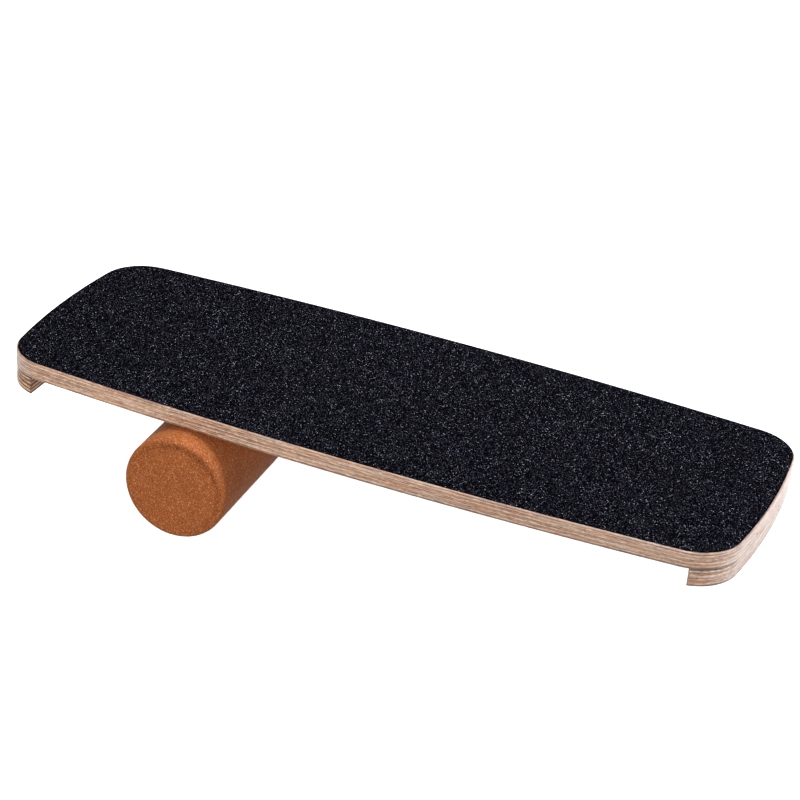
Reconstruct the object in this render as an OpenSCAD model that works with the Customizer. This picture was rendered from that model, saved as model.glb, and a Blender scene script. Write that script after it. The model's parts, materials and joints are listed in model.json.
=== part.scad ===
// Balance board: a plywood deck with a non-slip sheet and an end stop under each end, lying across a loose
// cork roller. The deck is shown at rest, with its right stop on the floor.
// Row frame: floor at Z = 0, +X along the deck to its low end, +Y across the deck, +Z up.

/* [Deck] */
// Length of the deck, end to end
deck_l = 720; // [640:5:820]
// Width of the deck at its middle
deck_w = 271; // [240:1:320]
// How far each long side bows out over its length
side_bow = 15; // [8:0.5:22]
// How far each short end bows out over its width
end_bow = 13; // [8:0.5:20]
// Radius of the four corners
corner_r = 46; // [30:1:60]
// Number of veneers in the deck
deck_veneers = 9; // [7:2:11]
// Thickness of one veneer of the deck
deck_veneer_t = 1.8; // [1.4:0.05:2.2]

/* [Non-slip sheet] */
// Thickness of the mineral-coated sheet on the deck
grip_t = 0.8; // [0.6:0.1:1.6]
// How far the sheet stays inside the deck's edge
grip_inset = 1.4; // [0.2:0.1:3]

/* [End stops] */
// Length of each stop, from its straight inner face to the deck's end
stop_l = 39; // [34:1:60]
// Number of veneers in a stop
stop_veneers = 9; // [7:2:11]
// Thickness of one veneer of a stop
stop_veneer_t = 1.95; // [1.4:0.05:2.2]
// How far a stop's outline stays inside the deck's
stop_inset = 1.0; // [0:0.1:2]

/* [Stop screws] */
// Number of wood screws in each stop
screws_per_stop = 3; // [2:1:4]
// Distance between neighbouring screws, across the deck
screw_pitch = 72; // [40:2:74]
// Distance from the deck's end to the row of screws
screw_from_end = 20; // [17:1:22]
// How deep a screw reaches into the deck
screw_bite = 7.5; // [4:0.5:9]
// Diameter of a screw's shank
screw_d = 4; // [3:0.5:5]
// Diameter of a screw's countersunk head
screw_head_d = 8; // [7:0.5:9]

/* [Roller] */
// Diameter of the cork roller
roller_d = 100; // [80:1:120]
// Length of the cork roller
roller_l = 315; // [280:5:400]
// Radius of the roller's rounded rims
roller_rim_r = 5; // [3:1:20]
// Place of the roller along the deck, from the deck's middle
roller_x = -157; // [-190:1:-60]
// Turn of the roller away from square to the deck, seen from above
roller_yaw = 2.2; // [-5:0.1:5]
// Gap left between the roller and the deck above it
roller_gap = 0.3; // [0.1:0.1:0.5]

/* [Hidden] */
$fn = 128;
side_arc_steps = 1440;                    // the long arcs need more steps than a small circle
end_arc_steps = 720;
cut = 1;                                  // overshoot of a cut past the face that it opens
half_l = deck_l / 2;
half_w = deck_w / 2;
deck_t = deck_veneers * deck_veneer_t;
stop_t = stop_veneers * stop_veneer_t;
stop_inner_x = half_l - stop_l;

// Radius and centre of the arc along a long side and along a short end
side_r = (half_l * half_l + side_bow * side_bow) / (2 * side_bow);
end_r = (half_w * half_w + end_bow * end_bow) / (2 * end_bow);
side_centre = [0, half_w - side_r];
end_centre = [half_l - end_r, 0];

// Centre of the corner arc. It pokes past the side arc and the end arc by a hair, so that it crosses each
// at a small angle, where an arc that only touches them would leave slivers.
corner_poke = 0.05;
side_reach = side_r - corner_r + corner_poke;
end_reach = end_r - corner_r + corner_poke;
centre_gap = norm(end_centre - side_centre);
centre_dir = (end_centre - side_centre) / centre_gap;
along = (side_reach * side_reach - end_reach * end_reach + centre_gap * centre_gap) / (2 * centre_gap);
aside = sqrt(side_reach * side_reach - along * along);
corner_centre = side_centre + along * centre_dir + aside * [centre_dir.y, -centre_dir.x];
to_side = (corner_centre - side_centre) / side_reach;
to_end = (corner_centre - end_centre) / end_reach;

// Screws: a countersunk head under a straight shank with a pointed tip
screw_head_h = (screw_head_d - screw_d) / 2;
screw_tip_l = 1.5 * screw_d;
screw_sink = 0.4;                         // head below the stop's face
screw_l = stop_t - screw_sink + screw_bite;
recess_w = 1.1;
recess_l = 0.55 * screw_head_d;
recess_depth = 1.4;
screw_x = half_l - screw_from_end;

// Tilt at which a stop's lower edge reaches the floor, for the distance from the roller to that edge
roller_r = roller_d / 2;
axis_depth = roller_r + roller_gap;       // roller's axis below the deck
function floor_tilt(run) =
    let (rise = axis_depth - stop_t)
    atan2(rise, run) + asin(roller_r / norm([run, rise]));
stop_reach = end_centre.x * cos(roller_yaw) + end_r - stop_inset;
rest_tilt = floor_tilt(stop_reach - roller_x * cos(roller_yaw));

// Roller's axis at rest, placed so that the whole object's box is centred on the origin
roller_axis = [-sin(roller_yaw), cos(roller_yaw), 0];
box_skew = (deck_t - stop_t) * sin(rest_tilt) / 2 + stop_inset * cos(rest_tilt) / 2;
roller_centre = [roller_x * cos(rest_tilt) - axis_depth * sin(rest_tilt) - box_skew, 0, roller_r];

deck_names = [for (i = [1:deck_veneers]) str("deck_veneer_", i)];
left_stop_names = [for (i = [1:stop_veneers]) str("left_stop_veneer_", i)];
right_stop_names = [for (i = [1:stop_veneers]) str("right_stop_veneer_", i)];

// What a corner arc rounds off: all past its centre, between its two end radii and outside its circle
module corner_waste(inset) {
    span = 3 * corner_r;
    translate(corner_centre) difference() {
        polygon([[0, 0], span * to_side, span * (to_side + to_end), span * to_end]);
        circle(r = corner_r - inset);
    }
}

// Outline of the board: two shallow side arcs and two shallow end arcs, joined by four round corners
module board_outline(inset) {
    difference() {
        intersection() {
            translate(side_centre) circle(r = side_r - inset, $fn = side_arc_steps);
            translate(-side_centre) circle(r = side_r - inset, $fn = side_arc_steps);
            translate(end_centre) circle(r = end_r - inset, $fn = end_arc_steps);
            translate(-end_centre) circle(r = end_r - inset, $fn = end_arc_steps);
        }
        for (mx = [0, 1], my = [0, 1]) mirror([mx, 0]) mirror([0, my]) corner_waste(inset);
    }
}

// The end of the outline past the right stop's straight inner face
module stop_outline() {
    intersection() {
        board_outline(stop_inset);
        translate([stop_inner_x, -half_w]) square([stop_l, deck_w]);
    }
}

// Places a piece drawn with the deck's underside at Z = 0 and its middle at the origin onto the tilted board
module on_board() {
    translate(roller_centre) rotate(a = rest_tilt, v = roller_axis)
        translate([-roller_x, 0, axis_depth]) children();
}

module at_screws() {
    for (i = [0:screws_per_stop - 1])
        translate([screw_x, (i - (screws_per_stop - 1) / 2) * screw_pitch, screw_sink - stop_t]) children();
}

// Solid of revolution of a countersunk screw that points up, with its head's rim at Z = 0
module screw_blank() {
    rotate_extrude() polygon([
        [0, 0], [screw_head_d / 2, 0], [screw_d / 2, screw_head_h],
        [screw_d / 2, screw_l - screw_tip_l], [0, screw_l]
    ]);
}

module wood_screw() {
    difference() {
        screw_blank();
        for (turn = [0, 90]) rotate(turn)
            translate([-recess_l / 2, -recess_w / 2, -cut]) cube([recess_l, recess_w, recess_depth + cut]);
    }
}

// Space that the right stop's screws fill, with the straight mouth below each sunk head
module screw_holes() {
    at_screws() {
        screw_blank();
        translate([0, 0, -screw_sink - cut]) cylinder(d = screw_head_d, h = screw_sink + cut);
    }
}

module grip_sheet() {
    color("#17181f") on_board() translate([0, 0, deck_t]) linear_extrude(grip_t) board_outline(grip_inset);
}

// Veneers are counted from the top; odd ones have their grain along the deck, even ones across it
module veneer_color(index) {
    color(index % 2 == 1 ? "#c08c5c" : "#dcbf9a") children();
}

module deck_veneer(index) {
    veneer_color(index) on_board() difference() {
        translate([0, 0, deck_t - index * deck_veneer_t]) linear_extrude(deck_veneer_t) board_outline(0);
        for (side = [0, 1]) mirror([side, 0, 0]) screw_holes();
    }
}

module stop_veneer(index, side) {
    veneer_color(index) on_board() mirror([side, 0, 0]) difference() {
        translate([0, 0, -index * stop_veneer_t]) linear_extrude(stop_veneer_t) stop_outline();
        screw_holes();
    }
}

module stop_screws(side) {
    color("silver") on_board() mirror([side, 0, 0]) at_screws() wood_screw();
}

// Half of the roller's section, with the axis along Y
module roller_section() {
    core_r = roller_r - roller_rim_r;
    barrel_l = roller_l - 2 * roller_rim_r;
    translate([0, -roller_l / 2]) square([core_r, roller_l]);
    translate([0, -barrel_l / 2]) square([roller_r, barrel_l]);
    for (s = [-1, 1]) intersection() {
        translate([core_r, s * barrel_l / 2]) circle(r = roller_rim_r);
        translate([0, s > 0 ? barrel_l / 2 - cut : -roller_l / 2]) square([roller_r, roller_rim_r + cut]);
    }
}

module cork_roller() {
    color("#b9763f") translate(roller_centre) rotate([0, 0, roller_yaw]) rotate([-90, 0, 0])
        rotate_extrude() roller_section();
}

grip_sheet();
for (i = [1:deck_veneers]) deck_veneer(i);
for (i = [1:stop_veneers]) stop_veneer(i, 1);
for (i = [1:stop_veneers]) stop_veneer(i, 0);
stop_screws(1);  // left_stop_screws
stop_screws(0);  // right_stop_screws
cork_roller();
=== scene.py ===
"""The looks of a balance board: a plywood deck with a mineral-coated sheet and two stops on a cork roller."""
import json
import math

import bpy
import numpy as np
from mathutils import Matrix, Vector, noise


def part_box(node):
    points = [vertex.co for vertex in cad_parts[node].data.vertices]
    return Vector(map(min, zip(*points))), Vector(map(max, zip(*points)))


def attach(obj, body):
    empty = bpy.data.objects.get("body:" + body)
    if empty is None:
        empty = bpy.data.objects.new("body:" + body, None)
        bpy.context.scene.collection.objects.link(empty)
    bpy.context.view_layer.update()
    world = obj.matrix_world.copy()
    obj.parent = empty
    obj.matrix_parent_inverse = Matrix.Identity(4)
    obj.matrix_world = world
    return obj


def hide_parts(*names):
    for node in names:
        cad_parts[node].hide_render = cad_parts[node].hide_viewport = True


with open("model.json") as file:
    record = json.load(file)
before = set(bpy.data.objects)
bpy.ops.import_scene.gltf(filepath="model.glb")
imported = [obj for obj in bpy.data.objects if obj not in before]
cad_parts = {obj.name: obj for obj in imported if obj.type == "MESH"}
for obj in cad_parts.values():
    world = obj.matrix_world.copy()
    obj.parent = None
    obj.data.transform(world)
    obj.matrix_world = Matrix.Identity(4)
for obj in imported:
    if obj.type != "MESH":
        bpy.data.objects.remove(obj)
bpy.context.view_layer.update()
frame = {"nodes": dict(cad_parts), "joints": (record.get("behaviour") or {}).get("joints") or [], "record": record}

MM = 0.001
SEED = 7

# ---------------------------------------------------------------- the board's own frame, from the CAD frame


def centre(node):
    low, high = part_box(node)
    return (low + high) / 2


def board_matrix():
    """Row frame from board frame: origin amid the sheet's top, +X to the low end, +Z off the deck."""
    mount = next(m for m in frame["record"]["mounts"] if m["name"] == "deck_top")
    up = Vector(mount["axis"]).normalized()
    along = (centre("right_stop_screws") - centre("left_stop_screws")).normalized()
    matrix = Matrix((along, up.cross(along), up)).transposed().to_4x4()
    matrix.translation = Vector(mount["pos_m"])
    return matrix


def roller_matrix():
    """Row frame from roller frame: origin at the roller's middle, +Y along its axis, +Z up."""
    rock = next(j for j in frame["joints"] if j["name"] == "deck_rock")
    along = -Vector(rock["axis"]).normalized()
    matrix = Matrix((along.cross(Vector((0, 0, 1))), along, Vector((0, 0, 1)))).transposed().to_4x4()
    matrix.translation = Vector(rock["pos_m"])
    return matrix


def span(node, matrix):
    """Lowest and highest corner of a CAD node, measured in the frame that matrix gives."""
    inverse = matrix.inverted()
    points = np.array([inverse @ v.co for v in frame["nodes"][node].data.vertices])
    return points.min(0), points.max(0)


BOARD = board_matrix()
ROLLER = roller_matrix()
DECK_NODES = sorted(n for n in frame["nodes"] if n.startswith("deck_veneer_"))
STOP_NODES = {side: sorted(n for n in frame["nodes"] if n.startswith(side + "_stop_veneer_"))
              for side in ("left", "right")}

HALF_L, HALF_W = span(DECK_NODES[0], BOARD)[1][:2]
SIDE_BOW = 15 * MM
END_BOW = 13 * MM
CORNER_R = 46 * MM
ROLLER_R = span("cork_roller", ROLLER)[1][2]
ROLLER_HALF_L = span("cork_roller", ROLLER)[1][1]
ROLLER_RIM_R = 5 * MM

# ---------------------------------------------------------------- outlines


def arc(middle, radius, start, end, step):
    """Points and outward normals along an arc, without its last point."""
    count = max(2, round(radius * abs(end - start) / step))
    angles = start + (end - start) * np.arange(count) / count
    normals = np.column_stack((np.cos(angles), np.sin(angles)))
    return np.asarray(middle) + radius * normals, normals


def board_outline(inset, step):
    """The board's outline seen from above, anticlockwise from the near end of the right end arc."""
    side_r = (HALF_L ** 2 + SIDE_BOW ** 2) / (2 * SIDE_BOW)
    end_r = (HALF_W ** 2 + END_BOW ** 2) / (2 * END_BOW)
    side_c = np.array((0, HALF_W - side_r))
    end_c = np.array((HALF_L - end_r, 0))
    reach_side, reach_end = side_r - CORNER_R, end_r - CORNER_R
    gap = np.linalg.norm(end_c - side_c)
    toward = (end_c - side_c) / gap
    along = (reach_side ** 2 - reach_end ** 2 + gap ** 2) / (2 * gap)
    aside = math.sqrt(reach_side ** 2 - along ** 2)
    corner_c = side_c + along * toward + aside * np.array((toward[1], -toward[0]))
    end_angle = math.atan2(*(corner_c - end_c)[::-1])
    side_angle = math.atan2(*(corner_c - side_c)[::-1])
    pi = math.pi
    arcs = (
        (end_c, end_r, -end_angle, end_angle),
        (corner_c, CORNER_R, end_angle, side_angle),
        (side_c, side_r, side_angle, pi - side_angle),
        (corner_c * (-1, 1), CORNER_R, pi - side_angle, pi - end_angle),
        (-end_c, end_r, pi - end_angle, pi + end_angle),
        (-corner_c, CORNER_R, pi + end_angle, pi + side_angle),
        (-side_c, side_r, pi + side_angle, 2 * pi - side_angle),
        (corner_c * (1, -1), CORNER_R, 2 * pi - side_angle, 2 * pi - end_angle),
    )
    pieces = [arc(middle, radius - inset, start, end, step) for middle, radius, start, end in arcs]
    return np.vstack([p for p, _ in pieces]), np.vstack([n for _, n in pieces])


def stop_outline(inset, inner_x, side, step):
    """The end of the board's outline past the straight inner face, mirrored for the left stop."""
    points, normals = board_outline(inset, step)
    past = points[:, 0] > inner_x
    first = int(np.flatnonzero(past & ~np.roll(past, 1))[0])
    before, after = points[first - 1], points[first]
    reach = -np.interp(inner_x, (before[0], after[0]), (before[1], after[1]))
    points = np.roll(points, -first, 0)[:past.sum()]
    normals = np.roll(normals, -first, 0)[:past.sum()]
    count = round(2 * reach / step)
    face = np.column_stack((np.full(count, inner_x), np.linspace(reach, -reach, count)))
    face_normals = np.tile((-1.0, 0.0), (count, 1))
    face_normals[0] += normals[-1]
    face_normals[-1] += normals[0]
    points, normals = np.vstack((points, face)), np.vstack((normals, face_normals))
    if side == "left":
        points, normals = (points * (-1, 1))[::-1], (normals * (-1, 1))[::-1]
    return points, normals


def ring_noise(count, step, longest, shortest, rng):
    """Smooth random values round a closed ring, with wavelengths between the two given and a spread of 1."""
    spectrum = np.fft.rfft(rng.normal(size=count))
    frequency = np.arange(len(spectrum)) / (count * step)
    spectrum[(frequency < 1 / longest) | (frequency > 1 / shortest)] = 0
    values = np.fft.irfft(spectrum, count)
    return values / max(values.std(), 1e-9)


# ---------------------------------------------------------------- meshes


def new_object(name, vertices, faces, smooth=True):
    mesh = bpy.data.meshes.new(name)
    mesh.from_pydata([tuple(v) for v in vertices], [], [tuple(map(int, f)) for f in faces])
    mesh.polygons.foreach_set("use_smooth", [smooth] * len(mesh.polygons))
    piece = bpy.data.objects.new(name, mesh)
    bpy.context.scene.collection.objects.link(piece)
    return piece


def ring_faces(rings, count):
    """Quads between neighbouring closed rings of count points each, facing outwards for rings that rise."""
    here = np.arange(count)
    after = (here + 1) % count
    return [
        face
        for ring in range(rings - 1)
        for face in np.column_stack((here, after, after + count, here + count)) + ring * count
    ]


def slab(name, rings):
    """A closed solid from rings of points that rise to its top. Slot 0 is its edge, slot 1 its two faces."""
    count = len(rings[0])
    faces = ring_faces(len(rings), count)
    caps = [np.arange(count)[::-1], np.arange(count) + (len(rings) - 1) * count]
    piece = new_object(name, np.vstack(rings), faces + caps)
    for cap in piece.data.polygons[-2:]:
        cap.use_smooth = False
        cap.material_index = 1
    return piece


def store(mesh, name, values):
    """Keeps one number per vertex for the materials to read."""
    mesh.attributes.new(name, "FLOAT", "POINT").data.foreach_set("value", np.asarray(values, np.float32))


def place(piece, matrix, name, low=None, high=None, painted_shading=None):
    """Moves a mesh drawn in a local frame into the row frame, and keeps its local place in mm for materials.

    Between the heights low and high it also keeps the share of the way up, and the painted shading of each vertex:
    1 is painted shade, -1 is painted highlight.
    """
    mesh = piece.data
    points = np.empty(len(mesh.vertices) * 3)
    mesh.vertices.foreach_get("co", points)
    local = mesh.attributes.new(name, "FLOAT_VECTOR", "POINT")
    local.data.foreach_set("vector", (points / MM).astype(np.float32))
    if low is not None:
        points = points.reshape(-1, 3)
        level = np.clip((points[:, 2] - low) / (high - low), 0, 1)
        store(mesh, "level", level)
        store(mesh, "painted_shading", np.clip(painted_shading(points, level), -1, 1) if painted_shading else np.zeros(len(level)))
    mesh.transform(matrix)
    mesh.update()


def cut(piece, cutter):
    """Takes cutter out of piece for good."""
    modifier = piece.modifiers.new("cut", "BOOLEAN")
    modifier.operation = "DIFFERENCE"
    modifier.solver = "EXACT"
    modifier.object = cutter
    evaluated = piece.evaluated_get(bpy.context.evaluated_depsgraph_get())
    mesh = bpy.data.meshes.new_from_object(evaluated)
    piece.modifiers.clear()
    old, piece.data = piece.data, mesh
    name = old.name
    bpy.data.meshes.remove(old)
    mesh.name = name


# ---------------------------------------------------------------- node helpers


class Nodes:
    """A short way to write a material's node tree."""

    def __init__(self, name):
        self.material = bpy.data.materials.new(name)
        self.material.use_nodes = True
        self.tree = self.material.node_tree
        self.shader = self.tree.nodes["Principled BSDF"]

    def add(self, kind, inputs=None, **settings):
        node = self.tree.nodes.new(kind)
        for key, value in settings.items():
            setattr(node, key, value)
        for key, value in (inputs or {}).items():
            self.feed(node.inputs[key], value)
        return node

    def feed(self, socket, value):
        if isinstance(value, bpy.types.NodeSocket):
            self.tree.links.new(value, socket)
        else:
            socket.default_value = value

    def attribute(self, name, output="Vector"):
        return self.add("ShaderNodeAttribute", attribute_name=name).outputs[output]

    def scaled(self, vector, scale):
        return self.add("ShaderNodeMapping", {"Vector": vector, "Scale": scale}).outputs[0]

    def noise(self, vector, scale, detail=3.0, rough=0.5, distortion=0.0):
        node = self.add("ShaderNodeTexNoise", {
            "Vector": vector, "Scale": scale, "Detail": detail, "Roughness": rough, "Distortion": distortion})
        return node.outputs["Fac"]

    def cells(self, vector, scale, randomness=1.0, feature="F1"):
        return self.add("ShaderNodeTexVoronoi", {"Vector": vector, "Scale": scale, "Randomness": randomness},
                        feature=feature)

    def ramp(self, value, stops, interpolation="LINEAR"):
        node = self.add("ShaderNodeValToRGB", {"Fac": value})
        elements = node.color_ramp.elements
        node.color_ramp.interpolation = interpolation
        while len(elements) < len(stops):
            elements.new(0.5)
        for element, (position, colour) in zip(elements, stops):
            element.position = position
            element.color = (*colour, 1) if isinstance(colour, tuple) else (colour, colour, colour, 1)
        return node.outputs["Color"]

    def math(self, operation, a, b=0.0, clamp=False):
        node = self.add("ShaderNodeMath", operation=operation, use_clamp=clamp)
        self.feed(node.inputs[0], a)
        self.feed(node.inputs[1], b)
        return node.outputs[0]

    def mix(self, factor, a, b, blend="MIX"):
        node = self.add("ShaderNodeMix", data_type="RGBA", blend_type=blend)
        for socket, value in ((node.inputs[0], factor), (node.inputs[6], a), (node.inputs[7], b)):
            if isinstance(value, tuple) and len(value) == 3:
                value = (*value, 1)
            self.feed(socket, value)
        return node.outputs[2]

    def bump(self, height, strength, distance, normal=None):
        inputs = {"Height": height, "Strength": strength, "Distance": distance}
        if normal is not None:
            inputs["Normal"] = normal
        return self.add("ShaderNodeBump", inputs).outputs[0]

    def surface(self, colour, roughness, normal=None, **values):
        self.feed(self.shader.inputs["Base Color"], colour)
        self.feed(self.shader.inputs["Roughness"], roughness)
        if normal is not None:
            self.feed(self.shader.inputs["Normal"], normal)
        for key, value in values.items():
            self.feed(self.shader.inputs[key.replace("_", " ")], value)
        return self.material


# ---------------------------------------------------------------- materials

# Linear colours. A set of tones is light, dark and stain.
GLUE = (0.080, 0.020, 0.008)
# Painted shade for the lower arrises, the seams over the stops and the stops' corners
PAINTED_SHADE = (0.030, 0.010, 0.005)
PALE = (0.72, 0.56, 0.45)
OLIVE = (0.44, 0.30, 0.155)
# Painted highlight for the upper arris
PAINTED_HIGHLIGHT = (0.78, 0.62, 0.54)
FACE_TONES = (0.55, 0.330, 0.190), (0.32, 0.145, 0.070), (0.38, 0.140, 0.064)
CROSS_TONES = (0.78, 0.55, 0.395), (0.52, 0.315, 0.195), (0.54, 0.275, 0.155)
# Painted shade: darker, redder, more contrasting copies of the face and cross tones for the left stop's edges
SHADED_RED_TONES = (0.15, 0.038, 0.014), (0.065, 0.015, 0.006), (0.10, 0.022, 0.008)
SHADED_WARM_TONES = (0.86, 0.56, 0.300), (0.66, 0.350, 0.165), (0.56, 0.225, 0.085)
SHADIEST_EDGE_X, BRIGHTEST_EDGE_X = 330.0, -250.0       # mm along the board, where the painted fall-off of light along the edge ends


def wood(name, along, tones, edge, gloss):
    """Lacquered birch veneer. along is 0 where the grain runs along the deck and 1 where it runs across it.

    tones is light, dark and stain. edge adds blotches, and glue lines at the veneer's two faces. gloss is the
    lacquer's share.
    """
    n = Nodes(name)
    light, dark, stain = tones
    place_mm = n.attribute("board_mm")

    def grain(fibre, across, through, detail, rough, distortion=0.0):
        scale = [across, across, through]
        scale[along] = fibre
        return n.noise(n.scaled(place_mm, tuple(scale)), 1.0, detail, rough, distortion)

    def blotches(length, through, detail, low, high, stops):
        """Long patches round the board's edge, one set per veneer, as a ramp from low to high."""
        patch = n.noise(n.scaled(place_mm, (1 / length, 1 / length, through)), 1.0, detail, 0.6)
        return n.ramp(patch, [(low, stops[0]), (high, stops[1])])

    fine = grain(0.05, 1.1, 3.2, 6.0, 0.65)
    figure = grain(0.006, 0.07, 0.22, 3.0, 0.5, 0.7)
    colour = n.ramp(n.math("ADD", n.math("MULTIPLY", fine, 0.55), n.math("MULTIPLY", figure, 0.45)),
                    [(0.38, dark), (0.58, light)])
    if edge:
        colour = n.mix(blotches(26, 0.42, 4.0, 0.48, 0.62, (0.0, 0.9)), colour, stain)
        colour = n.mix(blotches(17, 0.37, 3.0, 0.54, 0.64, (0.0, 0.4)), colour, OLIVE)
        colour = n.mix(blotches(60, 0.33, 3.0, 0.52, 0.66, (0.0, 0.6)), colour, PALE)
    pores = grain(0.22, 5.0, 12.0, 2.0, 0.5)
    pore_mask = n.ramp(pores, [(0.30, 1.0), (0.40, 0.0)])
    colour = n.mix(n.math("MULTIPLY", pore_mask, 0.5), colour, tuple(0.4 * c for c in dark))
    if edge:
        mottle = n.noise(n.scaled(place_mm, (0.24, 0.24, 0.8)), 1.0, 4.0, 0.72)
        colour = n.mix(1.0, colour, n.ramp(mottle, [(0.37, 0.55), (0.50, 0.97), (0.63, 1.22)]), "MULTIPLY")
        # Painted shade: the edge darkens towards the low end, where less light falls on it
        place_x = n.add("ShaderNodeSeparateXYZ", {"Vector": place_mm}).outputs["X"]
        light_falloff = n.add("ShaderNodeMapRange", {
            "Value": place_x, "From Min": BRIGHTEST_EDGE_X, "From Max": SHADIEST_EDGE_X,
            "To Min": 1.03, "To Max": 0.72}).outputs["Result"]
        colour = n.mix(1.0, colour, light_falloff, "MULTIPLY")
        level = n.attribute("level", "Fac")
        from_middle = n.math("ABSOLUTE", n.math("SUBTRACT", level, 0.5))
        seam = n.ramp(from_middle, [(0.18, 0.0), (0.38, 1.0)])
        long = blotches(80, 0.56, 3.0, 0.44, 0.53, (0.10, 1.0))
        short = blotches(8, 0.56, 4.0, 0.42, 0.51, (0.12, 1.0))
        line = n.math("MULTIPLY", n.math("MULTIPLY", seam, long), short)
        colour = n.mix(n.math("MULTIPLY", line, 0.97), colour, GLUE)
        # Painted shade where the vertex attribute is positive, in patches along the edge, and painted highlight
        # where it is negative
        patchy = n.ramp(short, [(0.0, 0.75), (1.0, 1.0)])
        edge_marks = n.math("MULTIPLY", n.attribute("painted_shading", "Fac"), patchy, True)
        colour = n.mix(n.math("MULTIPLY", edge_marks, 0.97), colour, PAINTED_SHADE)
        highlight_share = n.math("MULTIPLY", n.attribute("painted_shading", "Fac"), -0.2, True)
        colour = n.mix(highlight_share, colour, PAINTED_HIGHLIGHT)
    height = n.math("SUBTRACT", fine, n.math("MULTIPLY", pore_mask, 0.6))
    normal = n.bump(height, 0.4, 0.00015)
    rough = n.ramp(fine, [(0.3, 0.60), (0.7, 0.45)])
    return n.surface(colour, rough, normal, Specular_IOR_Level=0.25, Coat_Weight=gloss, Coat_Roughness=0.35,
                     Sheen_Weight=0.1, Sheen_Roughness=0.3)


def grip_sheet_material():
    """Resin bed with mineral in it: near black with bluish and brownish clouds; its paler grains are partly
    mineral colour, partly painted glints.
    """
    n = Nodes("mineral_coated_sheet")
    place_mm = n.attribute("board_mm")
    colour = n.ramp(n.noise(place_mm, 0.3, 3.0),
                    [(0.38, (0.0012, 0.0010, 0.0010)), (0.62, (0.0007, 0.0008, 0.0024))])
    grey = n.ramp(n.noise(place_mm, 0.2, 2.0), [(0.40, (0.95, 0.90, 1.02)), (0.60, (0.90, 0.92, 1.26))])
    for scale, radius, levels in (
        (1.25, 0.50, ((0.47, 0.0), (0.74, 0.010), (0.91, 0.058), (1.0, 0.19))),
        (0.85, 0.37, ((0.64, 0.0), (0.82, 0.040), (0.95, 0.16), (1.0, 0.70))),
    ):
        grit = n.cells(place_mm, scale, 0.8)
        random = n.add("ShaderNodeSeparateColor", {"Color": grit.outputs["Color"]})
        shade = n.mix(1.0, n.ramp(random.outputs["Red"], list(levels)), grey, "MULTIPLY")
        core = n.ramp(grit.outputs["Distance"], [(0.45 * radius, 1.0), (radius, 0.0)])
        colour = n.mix(core, colour, shade, "ADD")
    normal = n.bump(n.noise(place_mm, 1.6, 3.0, 0.6), 0.5, 0.0002)
    return n.surface(colour, 0.9, normal, Specular_IOR_Level=0.0)


def grain_material():
    """Mineral grains that stand out of the sheet: most are black, some grey and a few nearly white; the grey and
    white ones are partly mineral colour, partly painted glints.
    """
    n = Nodes("mineral_grains")
    shade = n.attribute("grain_shade", "Fac")
    colour = n.ramp(shade, [(0.0, (0.001, 0.001, 0.002)), (0.45, (0.004, 0.004, 0.007)),
                            (0.76, (0.035, 0.034, 0.045)), (0.93, (0.18, 0.18, 0.23)),
                            (1.0, (0.80, 0.81, 0.88))])
    mottle = n.noise(n.attribute("board_mm"), 6.0, 2.0)
    colour = n.mix(n.ramp(mottle, [(0.35, 0.0), (0.7, 0.3)]), colour, (0.004, 0.004, 0.006))
    rough = n.ramp(mottle, [(0.3, 0.45), (0.7, 0.65)])
    return n.surface(colour, rough, Specular_IOR_Level=0.05)


def cork_material():
    n = Nodes("agglomerated_cork")
    place_mm = n.attribute("roller_mm")
    wander = n.add("ShaderNodeTexNoise", {"Vector": place_mm, "Scale": 1.3, "Detail": 2.0})
    shift = n.add("ShaderNodeVectorMath", {0: wander.outputs["Color"], 1: (0.8, 0.8, 0.8)},
                  operation="MULTIPLY")
    bent = n.add("ShaderNodeVectorMath", {0: place_mm, 1: shift.outputs[0]}, operation="ADD").outputs[0]
    big = n.cells(bent, 0.6)
    small = n.cells(bent, 1.7)
    big_random = n.add("ShaderNodeSeparateColor", {"Color": big.outputs["Color"]})
    small_random = n.add("ShaderNodeSeparateColor", {"Color": small.outputs["Color"]})
    colour = n.ramp(big_random.outputs["Red"], [
        (0.0, (0.20, 0.052, 0.010)), (0.35, (0.29, 0.078, 0.017)), (0.8, (0.35, 0.102, 0.025)),
        (1.0, (0.42, 0.145, 0.040))])
    flecks = n.ramp(small_random.outputs["Green"], [(0.0, (0.17, 0.040, 0.008)), (0.45, (0.30, 0.080, 0.018)),
                                                    (0.88, (0.40, 0.130, 0.038)), (1.0, (0.82, 0.40, 0.17))])
    colour = n.mix(0.72, colour, flecks)
    border = n.cells(bent, 0.6, feature="DISTANCE_TO_EDGE")
    dark_border = n.ramp(border.outputs["Distance"], [(0.0, 1.0), (0.10, 0.0)])
    colour = n.mix(n.math("MULTIPLY", dark_border, 0.3), colour, (0.10, 0.028, 0.009))
    bark = n.ramp(small_random.outputs["Blue"], [(0.93, 0.0), (0.97, 1.0)])
    colour = n.mix(n.math("MULTIPLY", bark, 0.55), colour, (0.10, 0.030, 0.010))
    broad = n.ramp(n.noise(place_mm, 0.03, 3.0), [(0.35, (1.06, 1.08, 1.24)), (0.65, (1.19, 1.22, 1.40))])
    colour = n.mix(1.0, colour, broad, "MULTIPLY")
    pits = n.ramp(small_random.outputs["Red"], [(0.40, 0.0), (0.70, 0.9)])
    torn = n.math("MULTIPLY", n.attribute("torn", "Fac"), pits)
    colour = n.mix(torn, colour, (0.085, 0.024, 0.008))
    height = n.math("ADD", n.math("MULTIPLY", small_random.outputs["Red"], 0.5),
                    n.math("MULTIPLY", n.noise(place_mm, 3.0, 4.0), 0.5))
    normal = n.bump(height, 0.5, 0.0003)
    return n.surface(colour, 0.60, normal, Specular_IOR_Level=0.06)


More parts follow.
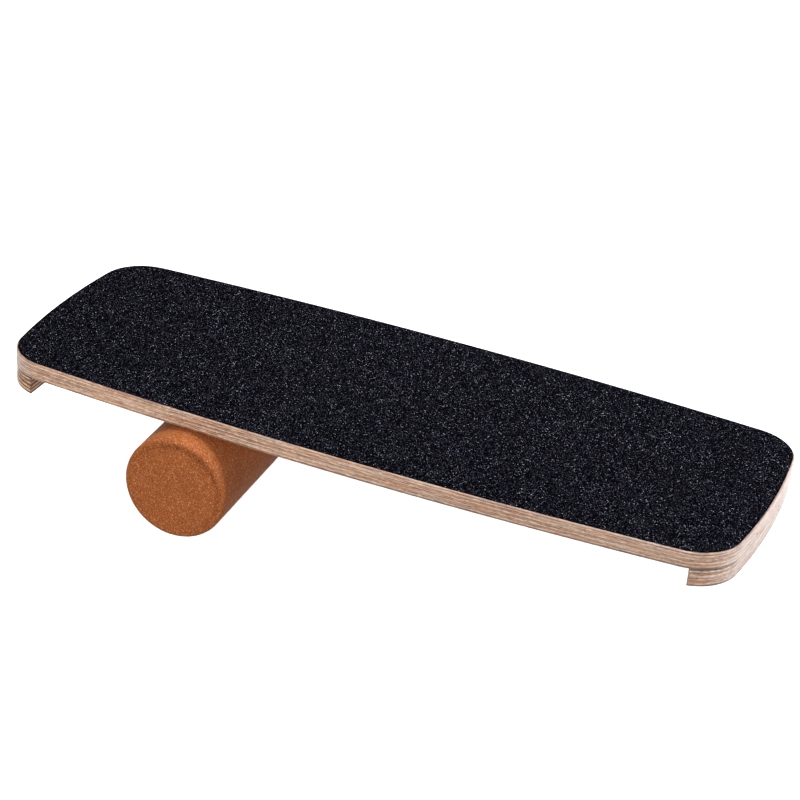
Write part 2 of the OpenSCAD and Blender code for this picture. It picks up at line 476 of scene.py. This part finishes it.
def steel_material():
    n = Nodes("bright_zinc_steel")
    place_mm = n.attribute("board_mm")
    brushed = n.noise(n.scaled(place_mm, (2.0, 9.0, 2.0)), 1.0, 4.0, 0.6)
    colour = n.ramp(brushed, [(0.3, (0.46, 0.45, 0.42)), (0.7, (0.66, 0.65, 0.62))])
    rough = n.ramp(brushed, [(0.3, 0.22), (0.7, 0.36)])
    return n.surface(colour, rough, n.bump(brushed, 0.15, 0.00005), Metallic=1.0)


# ---------------------------------------------------------------- pieces


def finish_piece(piece, materials, body, nodes):
    for material in materials:
        piece.data.materials.append(material)
    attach(piece, body)
    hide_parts(*nodes)


def upside_down(profile):
    return tuple((1 - share, inset) for share, inset in reversed(profile))


# Inset of a veneer's edge over its thickness, as pairs of share and mm: glued twice, or rounded on one face
GLUED_EDGE = ((0, 0.10), (0.12, 0.03), (0.5, 0.0), (0.88, 0.03), (1, 0.10))
SANDED_TOP = ((0, 0.10), (0.12, 0.03), (0.28, 0.0), (0.50, 0.06), (0.70, 0.24), (0.84, 0.52), (0.94, 0.90),
              (1, 1.35))
SEAM_TOP = ((0, 0.10), (0.12, 0.03), (0.30, 0.0), (0.48, 0.16), (0.62, 0.50), (0.76, 1.05), (0.90, 1.8),
            (1, 2.6))
EASED_BOTTOM = upside_down(((0, 0.10), (0.12, 0.03), (0.35, 0.0), (0.70, 0.02), (0.88, 0.15), (1, 0.50)))
SEAM_SHADE_SHARE = 0.40               # how much of a veneer's thickness the painted shade in the seam over a stop covers
ARRIS_SHADE_SHARE = 0.50              # the same for the painted shade on the lower arris
ARRIS_HIGHLIGHT_SHARE = 0.75             # and for the painted highlight on the upper one
SEAM_SHADE_REACH = 45 * MM            # how far from a stop's corners the painted shade in the seam starts
SEAM_SHADE_FADE = 22 * MM
CORNER_SHADE = 0.9 * MM          # how far the painted shade spreads from a stop's upright corners


def veneer(name, points, normals, step, low, high, profile, gaps, rng):
    """One veneer: a slab whose edge bulges between its glue lines, with gaps where its strips don't meet."""
    count = len(points)
    edge_marks = 0.035 * ring_noise(count, step, 0.05, 0.006, rng)
    edge_marks += 0.02 * ring_noise(count, step, 0.006, 2.2 * step, rng)
    dip = np.zeros(count)
    for at in rng.integers(0, count, gaps):
        width = rng.uniform(1.2, 3.2) * MM / step
        distance = np.minimum((np.arange(count) - at) % count, (at - np.arange(count)) % count)
        dip += rng.uniform(0.5, 1.1) * np.exp(-((distance / width) ** 4))
    rings = []
    for share, inset in profile:
        depth = (inset + edge_marks + dip * max(0.0, 1 - (2 * share - 1) ** 2)) * MM
        flat = points - normals * depth[:, None]
        rings.append(np.column_stack((flat, np.full(count, low + share * (high - low)))))
    return slab(name, rings)


def screw_places(side):
    """One stop's screws in the board's frame, from the CAD: their places, the head's face and the tip."""
    low, high = span(side + "_stop_screws", BOARD)
    inverse = BOARD.inverted()
    points = np.array([inverse @ v.co for v in frame["nodes"][side + "_stop_screws"].data.vertices])
    across = np.sort(points[:, 1])
    breaks = np.flatnonzero(np.diff(across) > 5 * MM)
    starts, ends = np.r_[0, breaks + 1], np.r_[breaks, len(across) - 1]
    middles = (across[starts] + across[ends]) / 2
    return [((low[0] + high[0]) / 2, y) for y in middles], low[2], high[2]


def lathe(name, profile, steps, middle):
    """A solid of revolution about +Z from (radius, height) pairs that rise."""
    angles = 2 * math.pi * np.arange(steps) / steps
    circle = np.column_stack((np.cos(angles), np.sin(angles)))
    rings = [np.column_stack((middle[0] + r * circle[:, 0], middle[1] + r * circle[:, 1], np.full(steps, z)))
             for r, z in profile]
    return slab(name, rings)


SCREW_HEAD_R = 4 * MM
SCREW_SHANK_R = 2 * MM


def screw_hole_cutter(places, head_z, tip_z):
    """Countersunk holes: a straight mouth, a cone for the head and a pilot for the shank."""
    cone_h = SCREW_HEAD_R - SCREW_SHANK_R
    profile = ((SCREW_HEAD_R + 0.15 * MM, head_z - 4 * MM), (SCREW_HEAD_R + 0.15 * MM, head_z),
               (SCREW_SHANK_R, head_z + cone_h), (SCREW_SHANK_R, tip_z - 5 * MM), (0.2 * MM, tip_z))
    cutters = [lathe(f"cutter_{i}", profile, 48, place) for i, place in enumerate(places)]
    return join("screw_cutter", cutters)


def join(name, objects):
    """Joins meshes into one object by data, with their material slots kept."""
    vertices, faces, slots, smooth = [], [], [], []
    for o in objects:
        first = len(vertices)
        vertices += [tuple(v.co) for v in o.data.vertices]
        faces += [tuple(first + i for i in p.vertices) for p in o.data.polygons]
        slots += [p.material_index for p in o.data.polygons]
        smooth += [p.use_smooth for p in o.data.polygons]
    joined = new_object(name, vertices, faces)
    joined.data.polygons.foreach_set("material_index", slots)
    joined.data.polygons.foreach_set("use_smooth", smooth)
    for o in objects:
        discard(o)
    return joined


def discard(o):
    mesh = o.data
    bpy.data.objects.remove(o)
    bpy.data.meshes.remove(mesh)


def make_deck(materials):
    step = 1.3 * MM
    cutters = {side: screw_hole_cutter(*screw_places(side)) for side in ("left", "right")}
    tip_z = screw_places("right")[2]
    for index, node in enumerate(DECK_NODES):
        rng = np.random.default_rng(SEED + index)
        low, high = (float(v[2]) for v in span(node, BOARD))
        first, last = index == 0, index == len(DECK_NODES) - 1
        profile = SANDED_TOP if first else EASED_BOTTOM if last else GLUED_EDGE
        points, normals = board_outline(0, step)
        crossed = index % 2
        piece = veneer(node.replace("deck_", "deck_wood_"), points, normals, step, low, high, profile,
                       26 if crossed else 4, rng)
        finish_piece(piece, materials[crossed], "board", [node])
        if low < tip_z:
            for cutter in cutters.values():
                cut(piece, cutter)
        place(piece, BOARD, "board_mm", low, high, paint_low_arris_shade if last else paint_high_arris_highlight if first else None)
    for cutter in cutters.values():
        discard(cutter)


def paint_low_arris_shade(points, level):
    """Painted shade along the lower arris, which faces down, more of it towards the low end."""
    return (2.2 - level / ARRIS_SHADE_SHARE) * np.clip(0.6 + points[:, 0] / (200 * MM), 0.3, 1)


def paint_high_arris_highlight(points, level):
    """Painted highlight along the upper arris, kept as a negative share."""
    return (1 - level) / ARRIS_HIGHLIGHT_SHARE - 1


def make_stop(side, materials):
    step = 1.1 * MM
    cutter = screw_hole_cutter(*screw_places(side))
    for index, node in enumerate(STOP_NODES[side]):
        rng = np.random.default_rng(SEED + 40 + 20 * (side == "left") + index)
        low, high = span(node, BOARD)
        inset = HALF_L - max(abs(low[0]), abs(high[0]))
        inner_x = min(abs(low[0]), abs(high[0]))
        reach = max(abs(low[1]), abs(high[1]))
        points, normals = stop_outline(inset, inner_x, side, step)
        first, last = index == 0, index == len(STOP_NODES[side]) - 1
        profile = SEAM_TOP if first else EASED_BOTTOM if last else GLUED_EDGE
        crossed = index % 2

        def paint_stop_shade(points, level):
            # Painted shade along the stop's upright corners, where its inner face meets its edge
            corner = np.hypot(np.abs(points[:, 0]) - inner_x, np.abs(points[:, 1]) - reach)
            painted_shading = np.maximum(1.3 - corner / CORNER_SHADE, 0)
            # Painted shade in the seam under the deck, along the top of the upper veneer, strongest near the
            # stop's corners
            if first:
                beside = np.clip((np.abs(points[:, 1]) - reach + SEAM_SHADE_REACH) / SEAM_SHADE_FADE, 0.15, 1)
                painted_shading = np.maximum(painted_shading, (3.0 - (1 - level) / SEAM_SHADE_SHARE) * beside)
            if last:
                painted_shading = np.maximum(painted_shading, paint_low_arris_shade(points, level))
            return painted_shading

        piece = veneer(node.replace("stop_", "stop_wood_"), points, normals, step,
                       float(low[2]), float(high[2]), profile, 8 if crossed else 2, rng)
        finish_piece(piece, materials[crossed], "board", [node])
        cut(piece, cutter)
        place(piece, BOARD, "board_mm", float(low[2]), float(high[2]), paint_stop_shade)
    discard(cutter)


def inside_outline(points, outline):
    """Which points lie inside a convex anticlockwise outline."""
    inside = np.ones(len(points), bool)
    after = np.roll(outline, -1, 0)
    for (ax, ay), (bx, by) in zip(outline, after):
        inside &= (bx - ax) * (points[:, 1] - ay) - (by - ay) * (points[:, 0] - ax) > 0
    return inside


GRAIN_COUNT = 46000             # over the box round the sheet, before those outside it are dropped
BED_DEPTH = 0.22 * MM           # how far the resin bed lies below the tallest grains


def make_grip(sheet, grains):
    low, high = span("grip_sheet", BOARD)
    inset = HALF_L - high[0]
    bed = high[2] - BED_DEPTH
    step = 1.5 * MM
    points, normals = board_outline(inset, step)
    rng = np.random.default_rng(SEED + 100)
    ragged = 0.06 * ring_noise(len(points), step, 0.03, 2.2 * step, rng) * MM
    rings = []
    for share, extra in ((0, 0.0), (0.75, 0.0), (1, 0.12)):
        flat = points - normals * (extra * MM + ragged)[:, None]
        rings.append(np.column_stack((flat, np.full(len(points), low[2] + share * (bed - low[2])))))
    piece = slab("grip_mineral_sheet", rings)
    for polygon in piece.data.polygons:
        polygon.material_index = 0
    base = [tuple(v.co) for v in piece.data.vertices]
    base_faces = [tuple(p.vertices) for p in piece.data.polygons]
    discard(piece)

    spots = rng.uniform((-HALF_L, -HALF_W), (HALF_L, HALF_W), (GRAIN_COUNT, 2))
    edge_points, _ = board_outline(inset + 0.6 * MM, 12 * MM)
    spots = spots[inside_outline(spots, edge_points)]
    count = len(spots)
    radius = rng.uniform(0.30, 0.62, count) * MM
    height = rng.uniform(0.08, 0.22, count) * MM
    turn = rng.uniform(0, 2 * math.pi, count)
    shade = rng.uniform(0, 1, count)
    corners = []
    for k in range(3):
        angle = turn + k * 2 * math.pi / 3 + rng.uniform(-0.6, 0.6, count)
        reach = radius * rng.uniform(0.7, 1.15, count)
        corners.append(np.column_stack((
            spots[:, 0] + reach * np.cos(angle), spots[:, 1] + reach * np.sin(angle),
            np.full(count, bed - 0.02 * MM))))
    offset = rng.uniform(-0.35, 0.35, (count, 2)) * radius[:, None]
    corners.append(np.column_stack((spots + offset, bed + height)))
    grain_points = np.stack(corners, 1).reshape(-1, 3)
    first = len(base)
    starts = first + 4 * np.arange(count)
    grain_faces = [(s + k, s + (k + 1) % 3, s + 3) for s in starts for k in range(3)]
    grain_faces += [(s + 2, s + 1, s) for s in starts]
    piece = new_object("grip_mineral_sheet", base + [tuple(p) for p in grain_points],
                       base_faces + grain_faces, smooth=False)
    slots = [0] * len(base_faces) + [1] * len(grain_faces)
    piece.data.polygons.foreach_set("material_index", slots)
    store(piece.data, "grain_shade", np.concatenate((np.zeros(first), np.repeat(shade, 4))))
    place(piece, BOARD, "board_mm")
    finish_piece(piece, (sheet, grains), "board", ["grip_sheet"])


def make_roller(cork):
    around, rim_steps, barrel_steps = 420, 10, 140
    core_r = ROLLER_R - ROLLER_RIM_R
    rim = [(core_r + ROLLER_RIM_R * math.sin(a), ROLLER_HALF_L - ROLLER_RIM_R + ROLLER_RIM_R * math.cos(a))
           for a in np.linspace(0, math.pi / 2, rim_steps)]
    face = [(r, ROLLER_HALF_L) for r in np.linspace(0.6 * MM, core_r, 26)[:-1]]
    half = face + rim
    barrel = [(ROLLER_R, y) for y in np.linspace(rim[-1][1], -rim[-1][1], barrel_steps)[1:-1]]
    profile = half + barrel + [(r, -y) for r, y in reversed(half)]
    angles = 2 * math.pi * np.arange(around) / around
    vertices = []
    for r, y in profile:
        vertices += [(r * math.cos(a), y, r * math.sin(a)) for a in angles]
    vertices = np.array(vertices)
    centre_line = np.clip(vertices[:, 1], -(ROLLER_HALF_L - ROLLER_RIM_R), ROLLER_HALF_L - ROLLER_RIM_R)
    radial = np.hypot(vertices[:, 0], vertices[:, 2])
    pull = np.minimum(radial, core_r) / np.maximum(radial, 1e-9)
    axis_points = np.column_stack((vertices[:, 0] * pull, centre_line, vertices[:, 2] * pull))
    outward = vertices - axis_points
    outward /= np.linalg.norm(outward, axis=1)[:, None]
    relief = np.empty(len(vertices))
    for i, v in enumerate(vertices):
        cell = noise.voronoi(Vector(v) / MM * 0.42)[0]
        relief[i] = 0.10 * (cell[0] - cell[1]) + 0.05 * noise.noise(Vector(v) / MM * 0.9)
    ends = np.abs(vertices[:, 1]) > ROLLER_HALF_L - ROLLER_RIM_R
    upper = np.clip(0.35 + (vertices[:, 0] + vertices[:, 2]) / (1.4 * ROLLER_R), 0, 1)
    torn = np.where(ends, np.clip(1.1 - np.abs(radial - core_r + 1.8 * MM) / (3.4 * MM), 0, 1) * upper, 0)
    relief = relief - 0.2 * torn
    vertices = vertices + outward * ((relief - relief.max()) * MM)[:, None]
    faces = ring_faces(len(profile), around)
    caps = [np.arange(around)[::-1], np.arange(around) + (len(profile) - 1) * around]
    piece = new_object("roller_cork", vertices, faces + caps)
    store(piece.data, "torn", torn)
    place(piece, ROLLER, "roller_mm")
    finish_piece(piece, (cork,), "roller", ["cork_roller"])


def make_screws(side, steel):
    """Countersunk wood screws with a cross recess and a rolled thread, all of one stop in one piece."""
    places, head_z, tip_z = screw_places(side)
    cone_h = SCREW_HEAD_R - SCREW_SHANK_R
    around, pitch, core_r = 32, 1.8 * MM, 1.35 * MM
    angles = 2 * math.pi * np.arange(around) / around
    solids = []
    for number, (x, y) in enumerate(places):
        smooth_part = [(SCREW_HEAD_R - 0.25 * MM, head_z), (SCREW_HEAD_R, head_z + 0.2 * MM),
                       (SCREW_SHANK_R, head_z + cone_h), (SCREW_SHANK_R, head_z + cone_h + 4 * MM)]
        rings = [np.column_stack((x + r * np.cos(angles), y + r * np.sin(angles), np.full(around, z)))
                 for r, z in smooth_part]
        for z in np.arange(smooth_part[-1][1] + 0.5 * MM, tip_z - 0.2 * MM, pitch / 6):
            ridge = np.abs(((z / pitch - angles / (2 * math.pi)) % 1) - 0.5) * 2
            taper = min(1.0, (tip_z - z) / (5 * MM))
            r = taper * (core_r + (SCREW_SHANK_R - core_r) * np.clip(1 - 2.2 * (1 - ridge), 0, 1))
            ring = (x + r * np.cos(angles), y + r * np.sin(angles), np.full(around, z))
            rings.append(np.column_stack(ring))
        screw = slab(f"screw_{number}", rings)
        cross = []
        square = ((-1, -1), (1, -1), (1, 1), (-1, 1))
        for turn in (0.5, 0.5 + math.pi / 2):
            along = np.array((math.cos(turn), math.sin(turn)))
            aside = np.array((-along[1], along[0]))
            bottom = [(sx * 1.1 * MM * along + sy * 0.35 * MM * aside) for sx, sy in square]
            mouth = [(sx * 2.3 * MM * along + sy * 0.6 * MM * aside) for sx, sy in square]
            box = [np.array([(x + p[0], y + p[1], z) for p in outline])
                   for outline, z in ((mouth, head_z - 0.5 * MM), (mouth, head_z), (bottom, head_z + 1.6 * MM))]
            cross.append(slab("recess", box))
        for cutter in cross:
            cut(screw, cutter)
            discard(cutter)
        solids.append(screw)
    piece = join(side + "_stop_wood_screws", solids)
    piece.data.polygons.foreach_set("material_index", [0] * len(piece.data.polygons))
    place(piece, BOARD, "board_mm")
    finish_piece(piece, (steel,), "board", [side + "_stop_screws"])


# ---------------------------------------------------------------- studio

# Strengths: a sun on the floor alone, the sky above and below the horizon, and three area lamps in watts
FLOOR_WASH = 3.4
SKY = 0.50
SKY_BELOW = 0.22
KEY = 29
FILL = 49
SIDE = 82


def lamp(name, kind, position, target, power, size=None, colour=(1, 1, 1)):
    data = bpy.data.lights.new(name, kind)
    if kind == "AREA":
        data.shape = "RECTANGLE"
        data.size, data.size_y = size
    data.energy = power
    data.color = colour
    made = bpy.data.objects.new(name, data)
    made.location = position
    made.rotation_mode = "QUATERNION"
    made.rotation_quaternion = (Vector(target) - Vector(position)).to_track_quat("-Z", "Y")
    bpy.context.scene.collection.objects.link(made)
    return made


def make_studio():
    """A pale floor with a wash of light of its own, a soft key from above, a fill, a side light and a sky."""
    floor = new_object("floor", [(-20, -20, 0), (20, -20, 0), (20, 20, 0), (-20, 20, 0)], [(0, 1, 2, 3)])
    n = Nodes("pale_floor")
    mottle = n.noise(n.add("ShaderNodeTexCoord").outputs["Object"], 3.0, 2.0)
    floor.data.materials.append(n.surface(n.ramp(mottle, [(0.0, 0.86), (1.0, 0.88)]), 0.8))
    floor.visible_diffuse = False            # the sky's lower half stands in for the light off the floor
    wash = lamp("floor_wash", "SUN", (0, 0, 3), (0, 0, 0), FLOOR_WASH)
    washed = bpy.data.collections.new("washed_by_the_floor_light")
    washed.objects.link(floor)
    wash.light_linking.receiver_collection = washed
    wash.light_linking.blocker_collection = washed
    world = bpy.data.worlds.new("studio")
    world.use_nodes = True
    tree = world.node_tree
    height = tree.nodes.new("ShaderNodeSeparateXYZ")
    tree.links.new(tree.nodes.new("ShaderNodeTexCoord").outputs["Generated"], height.inputs[0])
    strength = tree.nodes.new("ShaderNodeMapRange")
    tree.links.new(height.outputs["Z"], strength.inputs["Value"])
    for key, value in (("From Min", -0.4), ("From Max", 0.2), ("To Min", SKY_BELOW), ("To Max", SKY)):
        strength.inputs[key].default_value = value
    tree.links.new(strength.outputs["Result"], tree.nodes["Background"].inputs["Strength"])
    tree.nodes["Background"].inputs["Color"].default_value = (1, 1, 1, 1)
    bpy.context.scene.world = world
    lamp("key", "AREA", (0.15, 0.5, 2.0), (0, 0, 0.06), KEY, (0.8, 0.4))
    lamp("fill", "AREA", (0.65, -2.5, 1.05), (0, 0, 0.06), FILL, (1.2, 0.9))
    lamp("side", "AREA", (2.6, 0.6, 0.85), (0.3, 0, 0.05), SIDE, (0.9, 0.7), (0.74, 0.86, 1.0))
    bpy.context.scene.view_settings.view_transform = "Standard"


CAMERA_AZIMUTH = 24.78          # degrees, turned from looking along +Y
CAMERA_ELEVATION = 24.81
CAMERA_ROLL = 3.96              # the picture's right side hangs lower than level
CAMERA_DISTANCE = 2.3795
CAMERA_AIM_LEFT = 0.9 * MM      # where the aim lies from the deck's middle, across the picture and down it
CAMERA_AIM_DOWN = 3.0 * MM
CAMERA_LENS = 115.7


def make_camera():
    azimuth, elevation, roll = (math.radians(v) for v in (CAMERA_AZIMUTH, CAMERA_ELEVATION, CAMERA_ROLL))
    level = math.cos(elevation)
    back = Vector((math.sin(azimuth) * level, -math.cos(azimuth) * level, math.sin(elevation)))
    turned = (-back).to_track_quat("-Z", "Y").to_matrix() @ Matrix.Rotation(-roll, 3, "Z")
    data = bpy.data.cameras.new("camera")
    data.lens = CAMERA_LENS
    data.clip_start = 0.05
    camera = bpy.data.objects.new("camera", data)
    aim = BOARD.translation - turned.col[0] * CAMERA_AIM_LEFT - turned.col[1] * CAMERA_AIM_DOWN
    camera.matrix_world = Matrix.Translation(aim + back * CAMERA_DISTANCE) @ turned.to_4x4()
    bpy.context.scene.collection.objects.link(camera)
    bpy.context.scene.camera = camera


def edge_woods(name, face_tones, cross_tones, gloss):
    """The edge materials of veneers with their grain along the deck, then of those across it."""
    return tuple(wood(f"{name}_{grain}_edge", along, tones, True, gloss)
                 for along, (grain, tones) in enumerate((("face", face_tones), ("cross", cross_tones))))


LACQUERED, MATT = 0.8, 0.1      # share of the lacquer's coat

make_camera()
make_studio()

SIDE_WOODS = (wood("birch_face_side", 0, FACE_TONES, False, LACQUERED),
              wood("birch_cross_side", 1, CROSS_TONES, False, LACQUERED))
DECK_WOODS = tuple(zip(edge_woods("birch", FACE_TONES, CROSS_TONES, LACQUERED), SIDE_WOODS))
# The left stop's edges get the shaded tones and little lacquer: a painted-shade copy of the birch, as that stop
# lies in shade
SHADED_LEFT_WOODS = tuple(zip(edge_woods("shaded_red_birch", SHADED_RED_TONES, SHADED_WARM_TONES, MATT), SIDE_WOODS))
STEEL = steel_material()

make_deck(DECK_WOODS)
for side, woods_of_side in (("left", SHADED_LEFT_WOODS), ("right", DECK_WOODS)):
    make_stop(side, woods_of_side)
    make_screws(side, STEEL)
make_grip(grip_sheet_material(), grain_material())
make_roller(cork_material())
